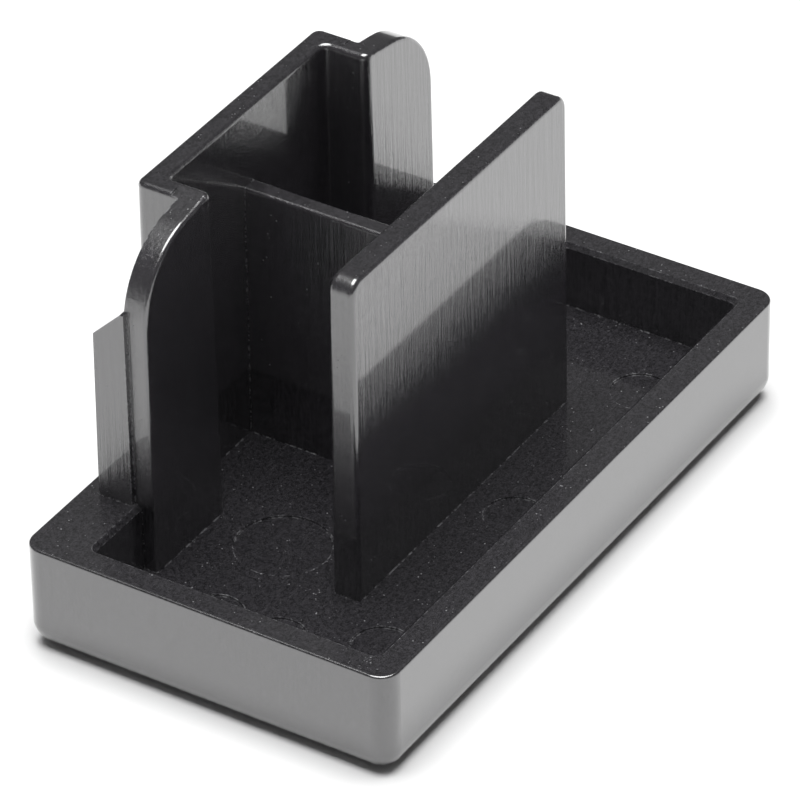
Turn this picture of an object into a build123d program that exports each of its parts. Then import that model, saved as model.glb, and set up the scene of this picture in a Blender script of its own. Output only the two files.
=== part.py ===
from build123d import *
import os

os.makedirs("parts", exist_ok=True)

# End cap for a hollow profile, moulded in one piece.
# The origin is the bottom centre of the flat outer face. +X runs along the cap,
# +Y points to the hat-shaped wall, and +Z up the plug that goes into the profile.

# tray that covers the cut end of the profile
cap_length = 40.0
cap_width = 22.5
cap_height = 6.5
corner_radius = 1.15
bottom_radius = 1.5
floor_height = 2.45
side_rim = 1.5
front_rim = 1.5
rear_rim = 3.3
rim_chamfer = 0.25
rim_edge_radius = 0.15
cavity_corner_radius = 0.25
cavity_draft = 0.5

# free-standing plate
plate_length = 21.3
plate_foot = 1.7
plate_front_y = -3.56
plate_top = 22.3
plate_draft = 0.3
plate_corner_radius = 0.9
plate_edge_radius = 0.3

# hat-shaped wall with a wing on each side
hat_top = 22.7
hat_draft = 0.4
wall_foot = 1.53
hat_half_width = 8.82
hat_rear_y = 11.15
hat_rear_radius = 0.7
hat_inner_radius = 0.3
leg_corner_radius = 0.6
wing_front_y = 6.88
wing_foot = 1.6
wing_half_span = 13.97
wing_slope = 10.0
wing_slope_start = 7.75
wing_radius = 4.6
hat_edge_radius = 0.3
wing_edge_radius = 0.2

# web that ties the plate to the hat
web_foot = 1.6
web_top = 18.05
web_draft = 1.0
web_edge_radius = 0.2

# rib behind the end of each wing, with a sloped lead-in at its top
rib_thickness = 1.7
rib_outer_x = 14.25
rib_front_y = 8.1
rib_rear_y = 10.25
rib_top = 18.45
rib_lead_in = 1.7
rib_draft = 0.4

# shallow round marks of the ejector pins in the floor
mark_depth = 0.1
small_mark = 3.3
large_mark = 5.3
small_mark_places = [(-13.2, -6.5), (0.0, -6.5), (13.2, -6.5), (-15.35, 2.45), (-15.35, -1.4)]
large_mark_places = [(-8.55, 2.55), (8.55, 2.55)]

# sizes that follow
cavity_length = cap_length - 2 * (side_rim + rim_chamfer)
cavity_front_y = -cap_width / 2 + front_rim + rim_chamfer
cavity_rear_y = cap_width / 2 - rear_rim - rim_chamfer
cavity_rise = cap_height - floor_height
plate_mid_y = plate_front_y + plate_foot / 2
plate_rise = plate_top - floor_height
hat_rise = hat_top - floor_height
hat_half_inside = hat_half_width - wall_foot
hat_inside_y = hat_rear_y - wall_foot
wing_rear_y = wing_front_y + wing_foot
wing_cut_y = wing_rear_y + hat_edge_radius
web_rise = web_top - floor_height
rib_mid_x = rib_outer_x - rib_thickness / 2
rib_mid_y = (rib_front_y + rib_rear_y) / 2


with BuildPart() as end_cap:
    # tray block, rounded at its corners and along the bottom edge
    with BuildSketch():
        RectangleRounded(cap_length, cap_width, corner_radius)
    extrude(amount=cap_height)
    fillet(end_cap.edges().group_by(Axis.Z)[0], radius=bottom_radius)

    # cavity, slightly wider at the rim, with a chamfered inner edge
    with BuildSketch(Plane.XY.offset(floor_height)):
        with Locations((0, (cavity_front_y + cavity_rear_y) / 2)):
            RectangleRounded(cavity_length, cavity_rear_y - cavity_front_y, cavity_corner_radius)
    extrude(amount=cavity_rise, taper=-cavity_draft, mode=Mode.SUBTRACT)
    rim_face = end_cap.faces().filter_by(Axis.Z).sort_by(Axis.Z)[-1]
    chamfer(rim_face.inner_wires()[0].edges(), length=rim_chamfer)
    rim_face = end_cap.faces().filter_by(Axis.Z).sort_by(Axis.Z)[-1]
    fillet(rim_face.outer_wire().edges(), radius=rim_edge_radius)

    # notch in the rear rim, where the inside of the hat reaches the floor
    notch_front_y = cavity_rear_y - side_rim
    notch_rear_y = hat_inside_y + wall_foot / 2
    with BuildSketch(Plane.XY.offset(floor_height)):
        with Locations((0, (notch_front_y + notch_rear_y) / 2)):
            Rectangle(2 * hat_half_inside + wall_foot, notch_rear_y - notch_front_y)
    extrude(amount=cavity_rise, mode=Mode.SUBTRACT)

    # hat-shaped wall, drawn as one section and drafted towards its top
    with BuildSketch(Plane.XY.offset(floor_height)) as hat_section:
        with BuildLine():
            Polyline(
                (0, hat_inside_y),
                (hat_half_inside, hat_inside_y),
                (hat_half_inside, wing_front_y),
                (wing_half_span, wing_front_y),
                (wing_half_span, wing_rear_y),
                (hat_half_width, wing_rear_y),
                (hat_half_width, hat_rear_y),
                (0, hat_rear_y),
            )
            mirror(about=Plane.YZ)
        make_face()
        rear_corners = hat_section.vertices().group_by(Axis.Y)[-1]
        fillet(rear_corners, radius=hat_rear_radius)
        inner_corners = hat_section.vertices().filter_by_position(Axis.Y, hat_inside_y - 0.01, hat_inside_y + 0.01)
        fillet(inner_corners, radius=hat_inner_radius)
        leg_corners = (
            hat_section.vertices()
            .filter_by_position(Axis.Y, wing_front_y - 0.01, wing_front_y + 0.01)
            .filter_by_position(Axis.X, -hat_half_inside - 0.01, hat_half_inside + 0.01)
        )
        fillet(leg_corners, radius=leg_corner_radius)
    extrude(amount=hat_rise, taper=hat_draft)
    hat_face = end_cap.faces().filter_by(Axis.Z).sort_by(Axis.Z)[-1]
    fillet(hat_face.edges(), radius=hat_edge_radius)

    # tops of the wings: a slope that starts on the leg, then a large round at the end
    with BuildSketch(Plane.XZ.offset(-wing_cut_y)):
        with Locations((wing_slope_start, hat_top)):
            Rectangle(cap_length / 2, wing_radius, rotation=-wing_slope, align=(Align.MIN, Align.MIN))
        mirror(about=Plane.YZ)
    extrude(amount=wing_cut_y, mode=Mode.SUBTRACT)
    wing_corners = end_cap.edges().filter_by(Axis.Y).filter_by_position(Axis.Z, hat_top - 2, hat_top - 0.5)
    fillet(wing_corners, radius=wing_radius)
    wing_edges = end_cap.edges().filter_by_position(Axis.Z, hat_top - wing_radius, hat_top - hat_edge_radius)
    fillet(wing_edges.filter_by_position(Axis.Y, wing_front_y, wing_front_y + wall_foot / 2), radius=wing_edge_radius)

    # rib behind each wing, on the rear rim, with its top edge cut back as a lead-in
    with BuildSketch(Plane.XY.offset(floor_height)):
        with Locations((-rib_mid_x, rib_mid_y), (rib_mid_x, rib_mid_y)):
            Rectangle(rib_thickness, rib_rear_y - rib_front_y)
    extrude(amount=rib_top - floor_height, taper=rib_draft)
    rib_edges = end_cap.edges().filter_by(Axis.X).filter_by_position(Axis.Z, rib_top - 0.01, rib_top + 0.01)
    chamfer(rib_edges.group_by(Axis.Y)[-1], length=rib_lead_in)

    # web between the plate and the back of the hat
    web_front_y = plate_mid_y
    web_rear_y = hat_inside_y + wall_foot / 2
    with BuildSketch(Plane.XY.offset(floor_height)):
        with Locations((0, (web_front_y + web_rear_y) / 2)):
            Rectangle(web_foot, web_rear_y - web_front_y)
    extrude(amount=web_rise, taper=web_draft)
    web_edges = end_cap.edges().filter_by(Axis.Y).filter_by_position(Axis.Z, web_top - 0.01, web_top + 0.01)
    fillet(web_edges, radius=web_edge_radius)

    # free-standing plate with rounded top corners and softened top edges
    with BuildSketch(Plane.XY.offset(floor_height)):
        with Locations((0, plate_mid_y)):
            Rectangle(plate_length, plate_foot)
    extrude(amount=plate_rise, taper=plate_draft)
    plate_edges = end_cap.edges().filter_by_position(Axis.Z, plate_top - 0.01, plate_top + 0.01)
    fillet(plate_edges.filter_by(Axis.Y), radius=plate_corner_radius)
    plate_face = end_cap.faces().filter_by(Axis.Z).sort_by(Axis.Z)[-2]
    fillet(plate_face.edges().filter_by(Axis.X), radius=plate_edge_radius)

    # shallow marks of the ejector pins
    with BuildSketch(Plane.XY.offset(floor_height)):
        with Locations(*small_mark_places):
            Circle(small_mark / 2)
        with Locations(*large_mark_places):
            Circle(large_mark / 2)
    extrude(amount=-mark_depth, mode=Mode.SUBTRACT)

end_cap.part.label = "end_cap"
export_step(end_cap.part, "parts/end_cap.step")
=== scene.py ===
from math import cos, radians, sin

import bpy
from mathutils import Matrix, Vector

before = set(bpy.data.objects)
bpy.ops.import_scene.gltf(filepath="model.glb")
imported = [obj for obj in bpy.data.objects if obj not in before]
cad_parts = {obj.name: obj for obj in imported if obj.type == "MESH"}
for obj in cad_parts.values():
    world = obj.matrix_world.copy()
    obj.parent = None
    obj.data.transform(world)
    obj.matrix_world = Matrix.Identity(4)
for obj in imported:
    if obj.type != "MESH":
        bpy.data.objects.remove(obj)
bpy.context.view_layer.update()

# ---------------------------------------------------------------- sizes, in metres
MM = 0.001

# heights of the cap that the plastic changes at, in millimetres
RIM_MM = 6.5
RIM_BLEND_MM = 0.2
RIM_TOP_FROM_MM = 6.1
RIM_TOP_FULL_MM = 6.4
FLOOR_TOP_MM = 2.7
FLOOR_CLEAR_MM = 3.2

# camera: a long lens looking down at one corner of the tray
CAMERA_TARGET = Vector((-1.70, -0.54, 8.94)) * MM
CAMERA_DISTANCE = 334.2 * MM
CAMERA_AZIMUTH = -57.35
CAMERA_ELEVATION = 35.53
CAMERA_ROLL = -1.03
CAMERA_LENS = 285.5
SENSOR_WIDTH = 36.0

# plastic
DARK_RESIN = (0.006, 0.0058, 0.0066, 1)
# LIGHT_RESIN is also the colour the plug's walls are pushed towards as painted fill light
LIGHT_RESIN = (0.042, 0.0400, 0.0450, 1)
DUST_COLOUR = (0.42, 0.42, 0.44, 1)
PLASTIC_IOR = 2.05
COAT_ROUGHNESS = 0.06
EDGE_RADIUS = 0.16 * MM

# table and light
TABLE_HALF = 3.0
TABLE_COLOUR = (0.94, 0.94, 0.94, 1)
ROOM_STRENGTH = 0.085
LAMP_HEIGHT = 1.3
LAMP_SIZE = 1.0
LAMP_POWER = 25.4


def make_camera():
    """A long lens, so the walls stay almost parallel."""
    azimuth = radians(CAMERA_AZIMUTH)
    elevation = radians(CAMERA_ELEVATION)
    back = Vector((
        sin(azimuth) * cos(elevation),
        -cos(azimuth) * cos(elevation),
        sin(elevation),
    ))
    data = bpy.data.cameras.new("camera")
    data.lens = CAMERA_LENS
    data.sensor_width = SENSOR_WIDTH
    data.clip_start = 0.01
    data.clip_end = 20.0
    camera = bpy.data.objects.new("camera", data)
    bpy.context.scene.collection.objects.link(camera)
    roll = Matrix.Rotation(radians(CAMERA_ROLL), 3, "Z")
    turn = (-back).to_track_quat("-Z", "Y").to_matrix() @ roll
    camera.matrix_world = Matrix.Translation(CAMERA_TARGET + back * CAMERA_DISTANCE) @ turn.to_4x4()
    bpy.context.scene.camera = camera


class Nodes:
    """Short calls for building one node tree."""

    def __init__(self, tree):
        self.tree = tree

    def add(self, kind, settings=None):
        node = self.tree.nodes.new(kind)
        for name, value in (settings or {}).items():
            setattr(node, name, value)
        return node

    def put(self, node, socket, value):
        """Links a socket, or writes a number."""
        target = node.inputs[socket]
        if isinstance(value, bpy.types.NodeSocket):
            self.tree.links.new(value, target)
        else:
            target.default_value = value

    def maths(self, operation, first, second, clamp):
        node = self.add("ShaderNodeMath", {"operation": operation})
        node.use_clamp = clamp
        self.put(node, 0, first)
        self.put(node, 1, second)
        return node.outputs[0]

    def plus(self, first, second, clamp=True):
        return self.maths("ADD", first, second, clamp)

    def times(self, first, second, clamp=True):
        return self.maths("MULTIPLY", first, second, clamp)

    def minus(self, first, second):
        return self.maths("SUBTRACT", first, second, False)

    def ramp(self, value, low, high, bottom=0.0, top=1.0):
        """Maps low..high smoothly onto bottom..top."""
        node = self.add("ShaderNodeMapRange", {"interpolation_type": "SMOOTHSTEP"})
        self.put(node, "Value", value)
        self.put(node, "From Min", low)
        self.put(node, "From Max", high)
        self.put(node, "To Min", bottom)
        self.put(node, "To Max", top)
        return node.outputs["Result"]

    def vector(self, operation, first, socket, second, output=0):
        node = self.add("ShaderNodeVectorMath", {"operation": operation})
        self.put(node, 0, first)
        self.put(node, socket, second)
        return node.outputs[output]

    def noise(self, place, stretch, detail=3.0, roughness=0.6):
        """Noise whose grains per millimetre are given along each axis."""
        node = self.add("ShaderNodeTexNoise")
        self.put(node, "Vector", self.vector("MULTIPLY", place, 1, stretch))
        self.put(node, "Scale", 1.0)
        self.put(node, "Detail", detail)
        self.put(node, "Roughness", roughness)
        return node.outputs["Fac"]

    def specks(self, place, per_mm, size, scatter):
        """Round specks, left out wherever the scatter mask is low."""
        node = self.add("ShaderNodeTexVoronoi")
        self.put(node, "Vector", self.vector("SCALE", place, "Scale", per_mm))
        self.put(node, "Scale", 1.0)
        dots = self.ramp(node.outputs["Distance"], size, size * 0.45)
        return self.times(dots, scatter)

    def blend(self, factor, first, second):
        """Mixes two colours, each a link or four numbers."""
        node = self.add("ShaderNodeMix", {"data_type": "RGBA"})
        self.put(node, "Factor", factor)
        self.put(node, "A", first)
        self.put(node, "B", second)
        return node.outputs["Result"]


def cap_zones(nodes, place):
    """Masks for the parts of the cap, from which way a face looks and how high it is."""
    height_node = nodes.add("ShaderNodeSeparateXYZ")
    nodes.put(height_node, 0, place)
    height = height_node.outputs["Z"]
    turned = nodes.add(
        "ShaderNodeVectorTransform",
        {"vector_type": "NORMAL", "convert_from": "WORLD", "convert_to": "OBJECT"},
    )
    nodes.put(turned, 0, nodes.add("ShaderNodeNewGeometry").outputs["Normal"])
    facing = nodes.add("ShaderNodeSeparateXYZ")
    nodes.put(facing, 0, turned.outputs[0])

    upward = nodes.ramp(facing.outputs["Z"], 0.6, 0.95)
    sideways = nodes.ramp(nodes.maths("POWER", facing.outputs["X"], 2.0, False), 0.6, 0.9)
    upright = nodes.minus(1.0, upward)
    plug = nodes.ramp(height, RIM_MM - RIM_BLEND_MM, RIM_MM + RIM_BLEND_MM)
    return {
        "upward": upward,
        "upright": upright,
        "plug_walls": nodes.times(plug, upright),
        "plug_ends": nodes.times(plug, sideways),
        "rim_top": nodes.times(upward, nodes.ramp(height, RIM_TOP_FROM_MM, RIM_TOP_FULL_MM)),
        "tray_floor": nodes.times(upward, nodes.ramp(height, FLOOR_CLEAR_MM, FLOOR_TOP_MM)),
        "cap_sides": nodes.minus(upright, plug),
    }


def surface_heights(nodes, place, zones, grain, fine_streaks):
    """Satin grain, streaks pulled up the walls, eroded ends and tool lines on the floor."""
    streaks = nodes.noise(place, (3.4, 3.4, 0.16), 5.0, 0.72)
    eroded = nodes.noise(place, (4.5, 4.5, 4.5), 5.0, 0.75)
    tool_lines = nodes.noise(place, (0.35, 7.0, 1.0), 3.0, 0.6)
    swell = nodes.noise(place, (0.22, 0.22, 0.22), 1.0, 0.4)
    total = nodes.times(grain, 0.0050, False)
    for height, depth_mm, where in (
        (streaks, 0.050, "plug_walls"),
        (fine_streaks, 0.0045, "upright"),
        (eroded, 0.014, "plug_ends"),
        (tool_lines, 0.0035, "tray_floor"),
        (swell, 0.030, "plug_walls"),
    ):
        part = nodes.times(nodes.times(height, depth_mm, False), zones[where], False)
        total = nodes.plus(total, part, False)
    return total


def settled_dust(nodes, place, zones):
    """Dust lies in patches on what looks up, with a little on the plug's walls."""
    patches = nodes.ramp(nodes.noise(place, (1.3, 1.3, 1.3), 3.0, 0.7), 0.52, 0.68)
    fine = nodes.specks(place, 4.2, 0.24, patches)
    coarse = nodes.specks(place, 1.3, 0.085, patches)
    on_top = nodes.times(zones["upward"], 0.85)
    on_walls = nodes.times(zones["plug_walls"], 0.10)
    return nodes.times(nodes.plus(fine, coarse), nodes.plus(on_top, on_walls))


def rubbed_edges(nodes, place):
    """Edges, found by comparing the face with a slightly rounded one."""
    rounded = nodes.add("ShaderNodeBevel")
    rounded.samples = 6
    nodes.put(rounded, "Radius", EDGE_RADIUS)
    flat = nodes.add("ShaderNodeNewGeometry").outputs["Normal"]
    agreement = nodes.vector("DOT_PRODUCT", rounded.outputs["Normal"], 1, flat, "Value")
    edge = nodes.ramp(agreement, 0.995, 0.90)
    patches = nodes.ramp(nodes.noise(place, (2.6, 2.6, 2.6), 4.0, 0.7), 0.46, 0.66)
    return nodes.times(edge, patches)


def rim_scratches(nodes, place, zones):
    """Fine scratches along what looks up."""
    lines = nodes.ramp(nodes.noise(place, (1.1, 16.0, 1.0), 2.0, 0.5), 0.655, 0.70)
    return nodes.times(lines, zones["upward"])


def resin_colour(nodes, place, zones, fine_streaks, marks):
    """Charcoal resin with a slight sparkle, under the pale marks; the plug's upright walls are
    pushed towards the lighter resin as painted fill light.
    """
    sparkle = nodes.ramp(nodes.noise(place, (4.2, 4.2, 2.8), 4.0, 0.85), 0.40, 0.60)
    pulled = nodes.ramp(fine_streaks, 0.38, 0.62)
    tone_and_painted_fill = nodes.plus(nodes.times(sparkle, 0.5), nodes.times(pulled, 0.5))
    # painted fill light: the plug's upright walls are coloured paler to lift their shade
    tone_and_painted_fill = nodes.plus(tone_and_painted_fill, nodes.times(zones["plug_walls"], 0.38))
    return nodes.blend(marks, nodes.blend(tone_and_painted_fill, DARK_RESIN, LIGHT_RESIN), DUST_COLOUR)


def plastic(node):
    """Charcoal moulding: satin cap, drag streaks up the plug, eroded ends, dust and rubbed edges,
    with painted fill light on the plug's walls.
    """
    material = bpy.data.materials.new("charcoal_plastic")
    material.use_nodes = True
    shader = material.node_tree.nodes["Principled BSDF"]
    nodes = Nodes(material.node_tree)

    object_place = nodes.add("ShaderNodeTexCoord").outputs["Object"]
    place = nodes.vector("SCALE", object_place, "Scale", 1.0 / MM)
    zones = cap_zones(nodes, place)
    grain = nodes.noise(place, (5.0, 5.0, 5.0), 3.0, 0.7)
    fine_streaks = nodes.noise(place, (12.0, 12.0, 0.5), 3.0, 0.7)
    dust = settled_dust(nodes, place, zones)
    rubbed = rubbed_edges(nodes, place)
    scratches = rim_scratches(nodes, place, zones)

    bump = nodes.add("ShaderNodeBump")
    nodes.put(bump, "Height", surface_heights(nodes, place, zones, grain, fine_streaks))
    nodes.put(bump, "Distance", MM)
    nodes.put(bump, "Strength", 1.0)
    nodes.put(shader, "Normal", bump.outputs["Normal"])

    marks = nodes.plus(nodes.times(dust, 0.45), nodes.times(rubbed, 0.40))
    marks = nodes.plus(marks, nodes.times(scratches, 0.05))
    nodes.put(shader, "Base Color", resin_colour(nodes, place, zones, fine_streaks, marks))

    roughness = nodes.ramp(grain, 0.2, 0.8, 0.07, 0.13)
    for where, extra in (
        (zones["rim_top"], 0.14),
        (zones["plug_ends"], 0.14),
        (zones["tray_floor"], 0.07),
        (zones["cap_sides"], 0.08),
        (dust, 0.5),
        (rubbed, 0.3),
    ):
        roughness = nodes.plus(roughness, nodes.times(where, extra))
    nodes.put(shader, "Roughness", roughness)
    nodes.put(shader, "Coat Weight", nodes.minus(1.0, dust))
    shader.inputs["IOR"].default_value = PLASTIC_IOR
    shader.inputs["Coat Roughness"].default_value = COAT_ROUGHNESS
    node.material_slots[0].material = material


def make_table():
    mesh = bpy.data.meshes.new("table_top")
    corners = [(-1, -1), (1, -1), (1, 1), (-1, 1)]
    mesh.from_pydata([(x * TABLE_HALF, y * TABLE_HALF, 0) for x, y in corners], [], [(0, 1, 2, 3)])
    table = bpy.data.objects.new("table_top", mesh)
    bpy.context.scene.collection.objects.link(table)
    material = bpy.data.materials.new("white_table")
    material.use_nodes = True
    shader = material.node_tree.nodes["Principled BSDF"]
    shader.inputs["Base Color"].default_value = TABLE_COLOUR
    shader.inputs["Roughness"].default_value = 0.9
    shader.inputs["Specular IOR Level"].default_value = 0.0
    mesh.materials.append(material)


def make_light():
    """A dim room and one soft lamp overhead, too high for the rim to mirror it."""
    world = bpy.data.worlds.new("studio")
    bpy.context.scene.world = world
    world.use_nodes = True
    background = world.node_tree.nodes["Background"]
    background.inputs["Color"].default_value = (1, 1, 1, 1)
    background.inputs["Strength"].default_value = ROOM_STRENGTH
    data = bpy.data.lights.new("overhead", "AREA")
    data.shape = "RECTANGLE"
    data.size = LAMP_SIZE
    data.size_y = LAMP_SIZE
    data.energy = LAMP_POWER
    lamp = bpy.data.objects.new("overhead", data)
    bpy.context.scene.collection.objects.link(lamp)
    lamp.location = (0.0, 0.0, LAMP_HEIGHT)
    lamp.rotation_euler = Vector((0.0, 0.0, -LAMP_HEIGHT)).to_track_quat("-Z", "Y").to_euler()


plastic(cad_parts["end_cap"])
make_table()
make_light()
make_camera()

bpy.context.scene.view_settings.view_transform = "Standard"
